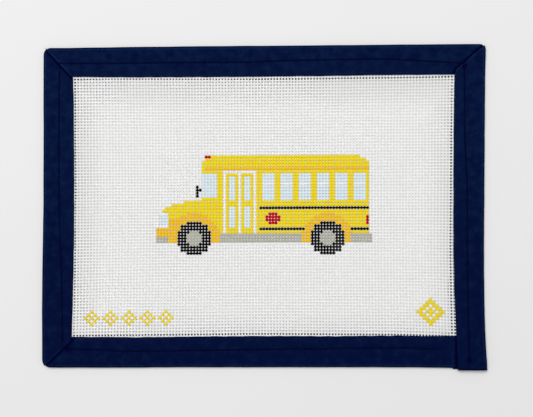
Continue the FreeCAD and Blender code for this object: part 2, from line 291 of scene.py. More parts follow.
@dataclass(frozen=True)
class CanvasPaint:
    """Matt acrylic brushed on the canvas by hand, thinner in places."""

    name: str
    colour: Colour
    deep: Colour
    bare: float = 0.5  # how much of the ground shows where it is thinnest
    film: float = 0.03  # thickness beside the thread
    ground: Colour = (0.86, 0.85, 0.80)
    roughness: float = 0.62
    stroke: Point = (3.4, 1.5)  # sizes across the picture and up it
    pool: Point = (0.62, 0.35)  # sizes on the level and in height
    fibre: float = 0.14

    def material(self) -> bpy.types.Material:
        """Builds the material.

        Returns:
            The material.
        """
        tree = ShaderTree(self.name)
        stroke = tree.noise(tree.x / self.stroke[0], tree.y / self.stroke[1], 21.0, 3.0)
        pool = tree.grain(self.pool[0], tree.z / self.pool[1], 2.0)
        fibre = tree.grain(self.fibre, tree.z / self.fibre)
        tone = (stroke - 0.5) * 1.5 + (0.5 - pool) * 0.8 + 0.35
        thin = (pool * 0.7 + fibre * 0.3).eased(0.60, 0.69) * self.bare
        colour = tree.mixed(thin, tree.mixed(tone, self.colour, self.deep), self.ground)
        normal = tree.bump(pool + fibre * 0.5, 0.05, 0.7)
        return tree.surface(colour, self.roughness + 0.2 * (pool - 0.5), normal, 0.02)


@dataclass(frozen=True)
class BindingCotton:
    """Navy cotton tape: a fine plain weave, with painted highlights along its folds, painted shade in its
    seam crease and at its edges, and a painted sheen toward the top.
    """

    body: Colour = (0.0010, 0.0040, 0.0320)
    # Paler colour: for random paler cloth and for the painted highlights
    pale_and_highlit: Colour = (0.0042, 0.0165, 0.0600)
    # Darkest colour: for the painted shade of the crease and edges, and the painted shadow at the joints
    deep: Colour = (0.0001, 0.0006, 0.0190)
    weave: float = 0.34  # pitch of its own yarns
    mesh: float = 1.411  # pitch of the canvas, which shows through it as bump and as painted light and shade
    drift: float = 9.0
    cloud: float = 4.2
    # size of the patches in which the painted shade of the crease is stronger
    rub: float = 2.6
    lint: float = 0.45
    fuzz: float = 0.12
    rim: float = 0.13  # place of the painted highlight along the outer fold, from the outer fold (0) past the seam (1) to the edge (2)
    ridge: float = 1.62  # middle of the strip that lies on the canvas
    lip: float = 1.90  # place of the painted highlight line beside the inner edge

    def material(self) -> bpy.types.Material:
        """Builds the material.

        Returns:
            The material.
        """
        tree = ShaderTree("binding_cotton")
        # joint holds painted shadow above 0 and painted highlight below 0, at the strips' ends
        inset, joint, drawn = (tree.stored(name) for name in ("inset", "joint", "drawn"))
        turn = TURN / self.weave
        drift = tree.grain(self.drift, 4.0) * 1.2
        yarns = ((tree.x + tree.y * 0.03 + drift) * turn).cosine() * ((tree.y + drift) * turn).cosine()
        cloud = tree.grain(self.cloud, 31.0, 4.0, 0.65)
        lint = tree.grain(self.lint, 17.0, 2.0).eased(0.70, 0.80)
        # Painted highlights: a pale line along the crest of the outer fold, and another beside the inner edge
        rim = (inset - self.rim).size().eased(0.06, 0.01)
        fold = (inset - self.lip).size().eased(0.06, 0.0) * 0.3
        # Painted shade where the tape turns down, at its outer fold and at its inner edge
        edges = inset.eased(0.065, 0.02) * 0.8 + inset.eased(1.94, 1.97) * 0.6
        # Painted shade in the seam's crease, stronger in patches and where the seam draws the cloth in
        crease_patches = tree.grain(self.rub, 44.0, 2.0)
        crease_shade = (inset - 1.0).size().eased(0.060, 0.025) * crease_patches.eased(0.30, 0.60, 0.35, 0.95) * drawn
        # The canvas mesh pressed through the middle of the tape, as bump and as painted light and shade
        turn = TURN / self.mesh
        press = (tree.x * turn).cosine() * (tree.y * turn).cosine()
        press = press * (inset - self.ridge).size().eased(0.50, 0.2)
        # The yarns are painted lighter where they rise
        tone = (cloud - 0.38) * 1.9 + rim * 0.5 + fold - joint * 0.8 + lint * 0.25 + yarns * 0.12
        # Painted light and shade of the pressed mesh, and a painted sheen: paler toward the top, where the
        # lamp hangs, and darker toward the bottom
        tone = tone + press * 0.36 - tree.y.eased(35.0, -45.0, 0.0, 0.2)
        # Tone runs from the body colour to the paler one, which also carries the painted highlights
        cloth = tree.mixed(tone, self.body, self.pale_and_highlit)
        # Mixes toward the darkest colour for the painted shade of crease, edges and joints
        colour = tree.mixed(crease_shade + edges + joint.eased(0.1, 0.7), cloth, self.deep)
        relief = yarns * 0.35 + tree.grain(self.fuzz, 2.0) * 0.5 + press * 1.25
        return tree.surface(colour, 0.9 - 0.08 * lint, tree.bump(relief, 0.06, 0.9), 0.02)


@dataclass(frozen=True)
class SewingThread:
    """Dark navy sewing thread, twisted of three plies."""

    light: Colour = (0.0010, 0.0030, 0.0330)
    dark: Colour = (0.0001, 0.0006, 0.0140)
    twist: float = 0.42  # length of one turn of the plies
    fibre: float = 0.08

    def material(self) -> bpy.types.Material:
        """Builds the material.

        Returns:
            The material.
        """
        tree = ShaderTree("sewing_thread")
        ply = ((tree.x + tree.y + tree.z) * (TURN / self.twist)).cosine() * 0.5 + 0.5
        fibre = tree.grain(self.fibre, tree.z / self.fibre)
        # Painted shade: darker in the grooves between the plies and where the fibres sink
        colour = tree.mixed(ply * 0.6 + fibre * 0.4, self.dark, self.light)
        return tree.surface(colour, 0.62 + 0.2 * fibre, tree.bump(ply + fibre, 0.03, 0.7), 0.04)


@dataclass(frozen=True)
class TableTop:
    """Plain pale table, a little uneven in tone."""

    light: Colour = (0.750, 0.750, 0.750)
    shade: Colour = (0.728, 0.728, 0.728)
    cloud: float = 60.0
    grain: float = 0.9

    def material(self) -> bpy.types.Material:
        """Builds the material.

        Returns:
            The material.
        """
        tree = ShaderTree("table_top")
        cloud = tree.grain(self.cloud, 1.0, 3.0)
        grain = tree.grain(self.grain, 5.0, 2.0)
        colour = tree.mixed((cloud - 0.4) * 0.8, self.light, self.shade)
        return tree.surface(colour, 0.75 + 0.1 * grain, tree.bump(grain, 0.02, 0.3), 0.2)


# Meshes and recipes


def piece_from(name: str, data: bpy.types.ID) -> bpy.types.Object:
    """Puts a mesh, a lamp or a camera into the scene as an object at the origin.

    Args:
        name: Name of the object.
        data: What it shows.

    Returns:
        The object.
    """
    made = bpy.data.objects.new(name, data)
    bpy.context.scene.collection.objects.link(made)
    return made


def numbers(items: Any, what: str, width: int) -> np.ndarray:
    """Reads a property of all vertices or faces.

    Args:
        items: The vertices or faces.
        what: The property.
        width: How many numbers each has.

    Returns:
        An array with a row for each.
    """
    found = np.empty(len(items) * width, np.float32)
    items.foreach_get(what, found)
    return found.reshape(-1, width)


def lay_out_flat(mesh: bpy.types.Mesh, lean: float = 0.35, margin: float = 0.004) -> None:
    """Gives a mesh a UV map as seen from above, its underside beside its upper side.

    Args:
        mesh: A mesh that is far wider than it is high.
        lean: How far a wall is laid over for each unit of its height.
        margin: Free share of the map along each edge.
    """
    places = numbers(mesh.vertices, "co", 3)
    flat = places[:, :2] + lean * places[:, 2:3]
    low, high = flat.min(0), flat.max(0)
    vertex = np.empty(len(mesh.loops), np.int32)
    mesh.loops.foreach_get("vertex_index", vertex)
    count = np.empty(len(mesh.polygons), np.int32)
    mesh.polygons.foreach_get("loop_total", count)
    under = np.repeat(numbers(mesh.polygons, "normal", 3)[:, 2] < 0, count)
    uv = margin + (1 - 2 * margin) * ((flat - low) / (high - low))[vertex]
    thin = 0 if high[0] - low[0] < high[1] - low[1] else 1
    uv[:, thin] = 0.5 * uv[:, thin] + 0.5 * under
    layer = mesh.uv_layers.new(name="OFBake")
    layer.data.foreach_set("uv", uv.astype(np.float32).ravel())


def bell(distance: np.ndarray, width: float) -> np.ndarray:
    """1 at no distance, and hardly anything two widths away."""
    return np.exp(-(distance / width) ** 2)


def clamped(value: np.ndarray) -> np.ndarray:
    """Keeps numbers between 0 and 1."""
    return np.clip(value, 0, 1)


def ripple(seed: int, first: np.ndarray, second: np.ndarray, waves: int = 18) -> np.ndarray:
    """Smooth noise with features about one unit wide, mostly between -1 and 1.

    Args:
        seed: Fixed seed.
        first: Places in one direction.
        second: Places in the other.
        waves: How many waves make it up.

    Returns:
        The height at each place.
    """
    chance = np.random.default_rng(seed)
    total = np.zeros(np.broadcast(first, second).shape)
    for _ in range(waves):
        angle, phase = chance.uniform(0, TURN, 2)
        pace = TURN * chance.uniform(0.35, 1.1)
        total += np.sin(pace * (first * math.cos(angle) + second * math.sin(angle)) + phase)
    return total / (waves / 3)


class Recipe(Tree):
    """A Geometry Nodes tree with named inputs, which is run once and gives a plain mesh."""

    def __init__(self, name: str, strung: bool = False) -> None:
        """Starts a tree that takes a mesh and gives a geometry.

        Args:
            name: What the tree is called.
            strung: Whether the points that it starts from are joined into a line.
        """
        super().__init__(bpy.data.node_groups.new(name, "GeometryNodeTree"))
        self.strung = strung
        self.values: dict[str, Any] = {}
        self.entry = self.node("NodeGroupInput")
        self.start = self.take("Start", "NodeSocketGeometry", None)
        self.tree.interface.new_socket("Piece", in_out="OUTPUT", socket_type="NodeSocketGeometry")

    def take(self, name: str, kind: str, value: Any) -> Wire:
        """Adds a named input.

        Args:
            name: What the input is called.
            kind: Its socket type.
            value: What the modifier gives it.

        Returns:
            The wire from it.
        """
        made = self.tree.interface.new_socket(name, in_out="INPUT", socket_type=kind)
        if value is not None:
            self.values[made.identifier] = value
        return Wire(self, self.entry.outputs[name])

    def length(self, name: str, value: float) -> Wire:
        """Adds a named length, given in millimetres."""
        return self.take(name, "NodeSocketFloat", value * MM)

    def count(self, name: str, value: int) -> Wire:
        """Adds a named whole number."""
        return self.take(name, "NodeSocketInt", int(value))

    def spot(self, name: str, value: Sequence[float]) -> Wire:
        """Adds a named place or step, given in millimetres."""
        return self.take(name, "NodeSocketVector", tuple(float(v) * MM for v in value))

    def place(self) -> tuple[Wire, Wire, Wire]:
        """Where each point is."""
        return self.parts(self.wire("GeometryNodeInputPosition"))

    def joined(self, parts: Sequence[Wire]) -> Wire:
        """Joins geometries.

        Args:
            parts: The geometries.

        Returns:
            The whole.
        """
        join = self.node("GeometryNodeJoinGeometry")
        for part in parts:
            self.tree.links.new(part.socket, join.inputs[0])
        return Wire(self, join.outputs[0])

    def realized(self, geometry: Wire) -> Wire:
        """Turns instances into geometry."""
        return self.wire("GeometryNodeRealizeInstances", None, {0: geometry})

    def grow(self, name: str, geometry: Wire, material: bpy.types.Material,
             start: Sequence[Sequence[float]] = ()) -> bpy.types.Object:
        """Ends the tree, runs it and keeps the result.

        Args:
            name: Name of the piece.
            geometry: What the tree makes.
            material: Its material.
            start: Points that the tree starts from, in millimetres.

        Returns:
            The piece, with a plain mesh.
        """
        dressed = self.wire("GeometryNodeSetMaterial", None,
                            {"Geometry": self.realized(geometry), "Material": material})
        self.node("NodeGroupOutput", None, {0: dressed})
        seedbed = bpy.data.meshes.new(name + "_start")
        seedbed.from_pydata([tuple(v * MM for v in p) for p in start],
                            [(k, k + 1) for k in range(len(start) - 1)] if self.strung else [], [])
        piece = piece_from(name, seedbed)
        modifier = piece.modifiers.new("grow", "NODES")
        modifier.node_group = self.tree
        for identifier, value in self.values.items():
            modifier[identifier] = value
        graph = bpy.context.evaluated_depsgraph_get()
        mesh = bpy.data.meshes.new_from_object(piece.evaluated_get(graph), preserve_all_data_layers=True,
                                               depsgraph=graph)
        piece.modifiers.remove(modifier)
        piece.data = mesh
        mesh.name = name
        bpy.data.meshes.remove(seedbed)
        lay_out_flat(mesh)
        return piece


# Canvas and paint


@dataclass(frozen=True)
class Pull:
    """How the binding pulls the canvas in one direction, in millimetres.

    Places are in units of 100 mm: "along" in the direction of the pull, and "beside" square to it.
    """

    level: float  # the same everywhere
    slope: float  # with the place along
    bend: float  # with its square
    curl: float  # with its cube
    tilt: float  # with the place beside
    bow: float  # with its square
    twist: float  # with along times beside
    pinch: float  # with along times the square of beside

    def wire(self, recipe: Recipe, name: str, along: Wire, beside: Wire) -> Wire:
        """Adds the nodes.

        Args:
            recipe: The tree that they go into.
            name: What the pull is called.
            along: Place along it.
            beside: Place beside it.

        Returns:
            How far each point is pulled.
        """
        level, slope, bend, curl, tilt, bow, twist, pinch = (
            recipe.length(f"{name} {f.name}", getattr(self, f.name)) for f in fields(self))
        straight = level + along * (slope + along * (bend + along * curl))
        return straight + beside * (tilt + beside * bow + along * (twist + beside * pinch))


@dataclass(frozen=True)
class Drape:
    """How the canvas is pulled, sinks between the bands and lets its threads wander."""

    opening: tuple[float, float, float, float] = (-88.6, -59.6, 87.3, 60.6)
    pull_across: Pull = Pull(-0.32, -0.75, 0.56, 1.99, 0.0, -0.36, -0.19, 2.40)
    pull_up: Pull = Pull(-0.49, -1.56, -0.14, 2.32, 0.45, -0.25, 0.43, 2.17)
    tugs: tuple[tuple[str, Point, Point], ...] = (  # what each is called, its middle and its step
        ("Upper left", (-96.0, 66.0), (0.60, -0.45)), ("Lower left", (-96.0, -66.0), (0.25, 0.45)),
        ("Lower right", (96.0, -66.0), (0.0, -0.30)), ("Upper right", (80.0, 62.0), (0.0, -0.20)),
        ("Right above", (89.0, 20.0), (0.14, 0.0)), ("Right below", (89.0, -24.0), (-0.19, 0.0)),
        ("Bottom left", (-28.0, -60.0), (0.0, -0.20)), ("Bottom right", (30.0, -60.0), (0.0, -0.20)))
    fade_across: Point = (0.99, 0.90)  # where a pull has faded out, and where it starts to
    fade_up: Point = (0.71, 0.62)
    reach: float = 42.0  # how far a tug is felt
    sag: float = 0.76
    ease: float = 15.0  # width beside each band over which it sags
    wander: float = 0.07
    strand: Point = (46.0, 3.4)  # how far a wander carries along a thread and beside it
    swell: float = 0.08
    broad: float = 26.0  # width of a swell

    def offset(self, recipe: Recipe) -> Wire:
        """Adds the nodes.

        Args:
            recipe: The tree that they go into.

        Returns:
            How far each point moves.
        """
        left, low, right, high = (recipe.length(f"Opening {side}", value)
                                  for side, value in zip(("left", "low", "right", "high"), self.opening))
        sag, swell = recipe.length("Sag", self.sag), recipe.length("Swell", self.swell)
        wander = recipe.length("Wander", self.wander)
        place = recipe.wire("GeometryNodeInputPosition")
        x, y, _ = recipe.parts(place)
        u, v = x / (100 * MM), y / (100 * MM)
        slide = self.pull_across.wire(recipe, "Pull across", u, v) * u.size().eased(*self.fade_across)
        lift = self.pull_up.wire(recipe, "Pull up", v, u) * v.size().eased(*self.fade_up)
        for name, middle, tug in self.tugs:
            spot = recipe.spot(f"{name} middle", (*middle, 0.0))
            step = recipe.spot(f"{name} tug", (*tug, 0.0))
            away = recipe.node("ShaderNodeVectorMath", {"operation": "DISTANCE"}, {0: place, 1: spot})
            near = Wire(recipe, away.outputs["Value"]).eased(self.reach * MM, 0.0)
            tug_across, tug_up, _ = recipe.parts(step)
            slide, lift = slide + near * tug_across, lift + near * tug_up
        inside = (x - left).least(right - x).least(y - low).least(high - y)
        sunk = inside.eased(0.0, self.ease * MM)
        wide = recipe.noise(x / (self.broad * MM), y / (self.broad * MM), 2.0) - 0.5
        along, beside = (length * MM for length in self.strand)
        across = recipe.noise(x / beside, y / along, 6.0) - 0.5
        up = recipe.noise(x / along, y / beside, 9.0) - 0.5
        return recipe.vector(slide + across * 2.0 * wander, lift + up * 2.0 * wander,
                             (wide * 2.0 * swell - sag) * sunk)


@dataclass
class Weave:
    """The threads of the canvas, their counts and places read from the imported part."""

    drape: Drape = Drape()
    width: float = 0.725  # of a thread
    thick: float = 0.28
    crimp: float = 0.14  # how far a thread rises and sinks at the crossings
    blunt: float = 0.88  # how square its section is, from 0, a ring, to 1
    sides: int = 6
    slub: Point = (5.0, 0.8)  # length and width of a thick place in a thread
    thinnest: float = 0.93  # share of the section
    gain: float = 0.14  # what the thickest place adds to it

    def __post_init__(self) -> None:
        """Reads where the threads lie."""
        self.columns = self.places("canvas_warp", 0)
        self.rows = self.places("canvas_weft", 1)
        self.pitch = float(np.diff(self.columns).mean())
        low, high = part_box("canvas_warp")[0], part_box("canvas_weft")[1]
        self.level = (low.z + high.z) / 2 / MM
        self.middle = (float(self.columns[np.abs(self.columns).argmin()]),
                       float(self.rows[np.abs(self.rows).argmin()]))

    @staticmethod
    def places(node: str, axis: int) -> np.ndarray:
        """Reads where the threads of a CAD node lie: across with axis 0, and up with axis 1."""
        edges = np.unique(np.round(numbers(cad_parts[node].data.vertices, "co", 3)[:, axis] / MM, 3))
        return (edges[0::2] + edges[1::2]) / 2

    @staticmethod
    def shifted(recipe: Recipe, geometry: Wire, offset: Wire) -> Wire:
        """Moves the points of a geometry."""
        return recipe.wire("GeometryNodeSetPosition", None, {"Geometry": geometry, "Offset": offset})

    def tubes(self, recipe: Recipe, curves: Wire, lay: Lay, film: float) -> Wire:
        """Bends threads over and under each other, drapes them and gives them their thickness.

        Args:
            recipe: The tree that the nodes go into.
            curves: Straight centre lines.
            lay: Which way they run.
            film: Thickness of the paint beside the thread, of which a third lies above and below.

        Returns:
            The threads' surfaces.
        """
        pitch = recipe.length(f"Pitch {lay.name.lower()}", self.pitch)
        crimp = recipe.length(f"Crimp {lay.name.lower()}", self.crimp * lay.value)
        x, y, _ = recipe.place()
        turns = (x - self.middle[0] * MM + (y - self.middle[1] * MM)) / pitch
        height = (turns * math.pi).cosine() * crimp + self.level * MM
        bent = self.shifted(recipe, curves, recipe.vector(0.0, 0.0, height))
        draped = self.shifted(recipe, bent, self.drape.offset(recipe))
        upright = recipe.wire("GeometryNodeSetCurveNormal", {"mode": "Z_UP"}, {0: draped})
        ring = recipe.wire("GeometryNodeCurvePrimitiveCircle", None,
                           {"Resolution": self.sides, "Radius": 1.0})
        wide, tall, _ = recipe.place()
        half_width, half_height = self.width / 2 + film, self.thick / 2 + 0.3 * film
        squarer = recipe.vector(wide * (1 + self.blunt - wide.size() * self.blunt) * (half_width * MM),
                                tall * (half_height / math.sin(TURN / self.sides) * MM), 0.0)
        section = recipe.wire("GeometryNodeSetPosition", None, {"Geometry": ring, "Position": squarer})
        along, beside = lay.turned(*recipe.place()[:2])
        slub = recipe.noise(along / (self.slub[0] * MM), beside / (self.slub[1] * MM), 15.0 * lay.value)
        body = recipe.wire("GeometryNodeCurveToMesh", None, {
            "Curve": upright, "Profile Curve": section, "Scale": self.thinnest + self.gain * slub,
            "Fill Caps": True})
        return recipe.wire("GeometryNodeSetShadeSmooth", None, {0: body})

    def layer(self, name: str, lay: Lay, lines: np.ndarray) -> bpy.types.Object:
        """Grows some of the threads of one layer.

        Args:
            name: Name of the piece.
            lay: Which way they run.
            lines: Their places beside each other, in millimetres.

        Returns:
            The piece.
        """
        recipe = Recipe(name)
        others, middle = (self.columns, self.middle[0]) if lay is Lay.WEFT else (self.rows, self.middle[1])
        low = round((others[0] - middle) / self.pitch) - 0.5
        high = round((others[-1] - middle) / self.pitch) + 0.5
        first = lay.turned(middle + low * self.pitch, float(lines[0]))
        last = lay.turned(middle + high * self.pitch, float(lines[0]))
        step = lay.turned(0.0, self.pitch)
        line = recipe.wire("GeometryNodeCurvePrimitiveLine", None, {
            "Start": recipe.spot("First thread starts", (*first, 0)),
            "End": recipe.spot("First thread ends", (*last, 0))})
        line = recipe.wire("GeometryNodeResampleCurve", None,
                           {"Curve": line, "Count": recipe.count("Points", 2 * (high - low) + 1)})
        stand = recipe.wire("GeometryNodeMeshLine", {"mode": "OFFSET"}, {
            "Count": recipe.count("Threads", len(lines)), "Offset": recipe.spot("Step", (*step, 0))})
        many = recipe.wire("GeometryNodeInstanceOnPoints", None, {"Points": stand, "Instance": line})
        threads = self.tubes(recipe, recipe.realized(many), lay, 0.0)
        return recipe.grow(name, threads, SizedCotton(lay).material())

    def build(self) -> list[bpy.types.Object]:
        """Grows both layers, each as two pieces, and says what each stands for.

        Returns:
            The pieces.
        """
        made = []
        for lay, node, lines, halves in ((Lay.WARP, "canvas_warp", self.columns, ("left", "right")),
                                         (Lay.WEFT, "canvas_weft", self.rows, ("low", "high"))):
            for half, some in zip(halves, np.array_split(lines, 2)):
                piece = self.layer(f"{node}_{half}", lay, some)
                made.append(dressed(piece, "canvas", node))
        return made


@dataclass
class Painting:
    """The paint of the picture, which wraps the threads of each painted stitch."""

    weave: Weave
    finishes: tuple[CanvasPaint, ...] = (
        CanvasPaint("paint_yellow", (0.83, 0.68, 0.0), (0.79, 0.57, 0.0), 0.0, 0.07),
        CanvasPaint("paint_amber", (0.84, 0.53, 0.0), (0.80, 0.43, 0.0), 0.0, 0.05),
        CanvasPaint("paint_grey", (0.46, 0.46, 0.39), (0.37, 0.37, 0.31)),
        CanvasPaint("paint_black", (0.003, 0.002, 0.002), (0.001, 0.001, 0.001), 0.0, 0.015),
        CanvasPaint("paint_glass", (0.70, 0.80, 0.84), (0.59, 0.71, 0.77)),
        CanvasPaint("paint_red", (0.51, 0.002, 0.005), (0.38, 0.001, 0.002), 0.0, 0.05),
    )

    def stitches(self, node: str) -> list[Point]:
        """Reads which crossings a CAD node paints.

        Args:
            node: The node, whose runs are flat boxes along the weft.

        Returns:
            The crossings' places, in millimetres.
        """
        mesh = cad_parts[node].data
        places = numbers(mesh.vertices, "co", 3) / MM
        found = set()
        for face in mesh.polygons:
            if face.normal.z < 0.9:
                continue
            corners = places[list(face.vertices)]
            low, high = corners.min(0), corners.max(0)
            column = round((low[0] + self.weave.pitch / 2 - self.weave.middle[0]) / self.weave.pitch)
            row = round(((low[1] + high[1]) / 2 - self.weave.middle[1]) / self.weave.pitch)
            for k in range(round((high[0] - low[0]) / self.weave.pitch)):
                found.add((column + k, row))
        return [(self.weave.middle[0] + c * self.weave.pitch, self.weave.middle[1] + r * self.weave.pitch)
                for c, r in sorted(found)]

    def coat(self, finish: CanvasPaint) -> bpy.types.Object:
        """Grows the paint of one colour: a sleeve on each thread of its crossings.

        Args:
            finish: The paint.

        Returns:
            The piece.
        """
        recipe = Recipe(finish.name)
        sleeves = []
        for lay in Lay:
            half = self.weave.pitch / 2
            start, step = lay.turned(-half, 0.0), lay.turned(half, 0.0)
            line = recipe.wire("GeometryNodeMeshLine", {"mode": "OFFSET"}, {
                "Count": 3, "Start Location": recipe.spot(f"Sleeve start {lay.name.lower()}", (*start, 0)),
                "Offset": recipe.spot(f"Sleeve step {lay.name.lower()}", (*step, 0))})
            many = recipe.wire("GeometryNodeInstanceOnPoints", None,
                               {"Points": recipe.start, "Instance": line})
            whole = recipe.wire("GeometryNodeMergeByDistance", None,
                                {"Geometry": recipe.realized(many), "Distance": 0.02 * MM})
            runs = recipe.wire("GeometryNodeMeshToCurve", None, {"Mesh": whole})
            sleeves.append(self.weave.tubes(recipe, runs, lay, finish.film))
        places = [(x, y, 0.0) for x, y in self.stitches(finish.name)]
        return recipe.grow(finish.name + "_coat", recipe.joined(sleeves), finish.material(), places)

    def build(self) -> list[bpy.types.Object]:
        """Grows every colour, and says what each stands for."""
        return [dressed(self.coat(finish), finish.name, finish.name) for finish in self.finishes]


# Binding


class Side(Enum):
    """An edge of the canvas: whether it is upright, and the sign of the way inward from it."""

    LEFT = (True, 1.0)
    TOP = (False, -1.0)
    RIGHT = (True, -1.0)
    BOTTOM = (False, 1.0)

    def __init__(self, upright: bool, inward: float) -> None:
        """Holds both under their names."""
        self.upright, self.inward = upright, inward


class Role(Enum):
    """What a strip's end does at a mitre."""

    OVER = 1
    UNDER = 2


@dataclass(frozen=True)
class Line:
    """A measured line: places along an edge, and the place across at each."""

    points: tuple[Point, ...]

    def at(self, along: np.ndarray) -> np.ndarray:
        """Reads the line, its corners smoothed over some millimetres."""
        places, across = zip(*sorted(self.points))
        return sum(np.interp(along + shift, places, across) for shift in (-6, -3, 0, 3, 6)) / 5


@dataclass(frozen=True)
class Mitre:
    """A diagonal joint between two strips, as places from its outer end, and the role of this end."""

    points: tuple[Point, ...]
    role: Role
    corner: float  # radius of the outer corner
    lip: float = 0.7  # how pale the painted highlight on the upper strip's edge is
    tuck: float = 0.9  # how far the lower strip runs on under the upper one
    step: float = 0.34  # how far the upper one rises over it
    slope: float = 1.9  # over what distance it rises
    groove: Point = (0.22, 0.22)  # depth and width of the groove at its edge
    dip: Point = (1.3, 1.5)  # how far the lower one sinks, in steps, and over what distance
    beyond: float = 12.0  # how many more of its first and last lengths the line runs on

    def ends(self, across: np.ndarray, upright: bool, upper: np.ndarray, outward: float) -> np.ndarray:
        """Finds where a strip ends.

        Args:
            across: Places across the strip.
            upright: Whether the strip runs up.
            upper: 1 for what belongs to the front leg, and 0 for the back leg.
            outward: Sign of the way out of the strip at this end.

        Returns:
            Place along the strip for each place across.
        """
        line = np.array(self.points)
        line = np.vstack([line[0] + self.beyond * (line[0] - line[1]), line,
                          line[-1] + self.beyond * (line[-1] - line[-2])])
        sides = line if upright else line[:, ::-1]
        order = np.argsort(sides[:, 0])
        found = np.interp(across, sides[order, 0], sides[order, 1])
        return found + outward * self.tuck * upper * (self.role is Role.UNDER)

    def rise(self, distance: np.ndarray) -> np.ndarray:
        """Finds how far the front leg rises or sinks.

        Args:
            distance: How far each point is from the end.

        Returns:
            What is added to its height.
        """
        if self.role is Role.OVER:
            return self.step * bell(distance, self.slope) - self.groove[0] * bell(distance, self.groove[1])
        return -self.dip[0] * self.step * bell(distance, self.dip[1])

    def mark(self, distance: np.ndarray) -> np.ndarray:
        """Finds the painted shadow and highlight at the joint.

        Args:
            distance: How far each point is from the end.

        Returns:
            From -1, a painted highlight, to 1, painted shadow.
        """
        # An upper end: a painted shadow line at its edge and a painted highlight on its lip. A lower end:
        # painted shadow where it runs under the upper strip.
        if self.role is Role.OVER:
            return 1.2 * bell(distance, 0.18) - self.lip * bell(distance - 0.75, 0.4)
        return bell(np.maximum(distance - self.tuck - 0.3, 0), 0.7)


@dataclass(frozen=True)
class Cut:
    """A straight end, with the place of the front leg's cut and of the back leg's."""

    front: float
    back: float
    covered: float = 0.0  # how much of the front leg another strip covers

    def ends(self, across: np.ndarray, upright: bool, upper: np.ndarray, outward: float) -> np.ndarray:
        """Finds where a strip ends, as Mitre.ends does."""
        return np.where(upper > 0.01, self.front, self.back) + 0.0 * across

    def rise(self, distance: np.ndarray) -> np.ndarray:
        """Rounds the cut cloth off."""
        return -0.10 * bell(distance, 0.25)

    def mark(self, distance: np.ndarray) -> np.ndarray:
        """Painted shadow on the cut cloth beside the strip that covers it, or else darker cloth at its end.
        """
        beside = 1.3 * bell(np.maximum(distance - self.covered, 0), 0.5)
        return np.where(self.covered > 0, beside, 0.8 * bell(distance, 0.7))


End = Union[Mitre, Cut]

FACE = 2.24  # height of the front leg's face


def run(height: float, *shares: float) -> tuple[Row, ...]:
    """Points of the section at one height, with nothing added inward."""
    return tuple((share, 0.0, height, 0) for share in shares)


# Folded cross-section: place between the outer fold (0), the seam (1) and the front leg's inner edge (2),
# what is added inward in millimetres, the height, and whether it moves with the back leg's overlap.
SECTION: tuple[Row, ...] = (
    (2.00, -0.32, 1.52, 0), (2.00, -0.10, 1.60, 0), (2.00, 0.00, 1.78, 0), (2.00, -0.03, 1.98, 0),
    (2.00, -0.16, 2.13, 0), (2.00, -0.40, 2.22, 0), *run(2.25, 1.90),
    *run(FACE, 1.80, 1.70, 1.58, 1.45, 1.33, 1.23, 1.12), (1.00, 0.38, 2.19, 0), (1.00, 0.17, 2.03, 0),
    (1.00, 0.00, 1.94, 0), (1.00, -0.17, 2.03, 0), (1.00, -0.38, 2.19, 0),
    *run(FACE, 0.89, 0.78, 0.68, 0.57, 0.46, 0.36, 0.27), (0.00, 1.35, 2.25, 0), (0.00, 0.85, 2.20, 0),
    (0.00, 0.45, 2.05, 0), (0.00, 0.18, 1.80, 0), (0.00, 0.04, 1.45, 0), (0.00, 0.00, 1.12, 0),
    (0.00, 0.04, 0.78, 0), (0.00, 0.18, 0.45, 0), (0.00, 0.45, 0.18, 0), (0.00, 0.85, 0.03, 0),
    (0.00, 1.35, 0.00, 0), *run(0.0, 0.35, 0.55, 0.75, 0.90), (1.00, -0.40, 0.08, 0),
    (1.00, 0.00, 0.28, 0), (1.00, 0.40, 0.08, 0), *run(0.0, 1.10, 1.30, 1.55, 1.80),
    (2.00, -0.45, 0.00, 1), (2.00, -0.12, 0.08, 1), (2.00, 0.00, 0.36, 1), (2.00, -0.12, 0.64, 1),
    (2.00, -0.45, 0.72, 1), *run(0.72, 1.50, 1.00, 0.40), (0.00, 1.00, 0.72, 0),
    (0.00, 0.90, 1.12, 0), (0.00, 1.00, 1.52, 0), *run(1.52, 0.40, 1.00, 1.50),
)


@dataclass(frozen=True)
class Ruffle:
    """Ripples in cloth, in millimetres: their height, and their lengths along a strip and across it."""

    height: float
    along: float
    across: float = 1.0

    def at(self, seed: int, along: np.ndarray, across: np.ndarray) -> np.ndarray:
        """Height at each place."""
        return self.height * ripple(seed, along / self.along, across / self.across)


@dataclass(frozen=True)
class Cloth:
    """How the tape's cloth swells, puckers and waves, in millimetres."""

    outer: float = 0.20  # swell between the outer fold and the seam
    inner: float = 0.10  # swell between the seam and the inner edge
    uneven: Ruffle = Ruffle(0.5, 16.0, 9.0)  # a share of both
    pucker: Ruffle = Ruffle(0.13, 3.1, 9.0)
    slant: float = 7.0  # how far from the seam a pucker has moved on by its own length
    fade: float = 2.6  # how far from the seam the puckers fade
    small: Ruffle = Ruffle(0.055, 7.0, 6.0)
    large: Ruffle = Ruffle(0.06, 22.0, 14.0)
    bump: Ruffle = Ruffle(1.0, 5.0, 5.0)  # a share of the lift
    lift: float = 0.05  # how far the underside lies over the table
    fold_wave: Ruffle = Ruffle(0.045, 13.0)
    edge_wave: Ruffle = Ruffle(0.09, 6.0)


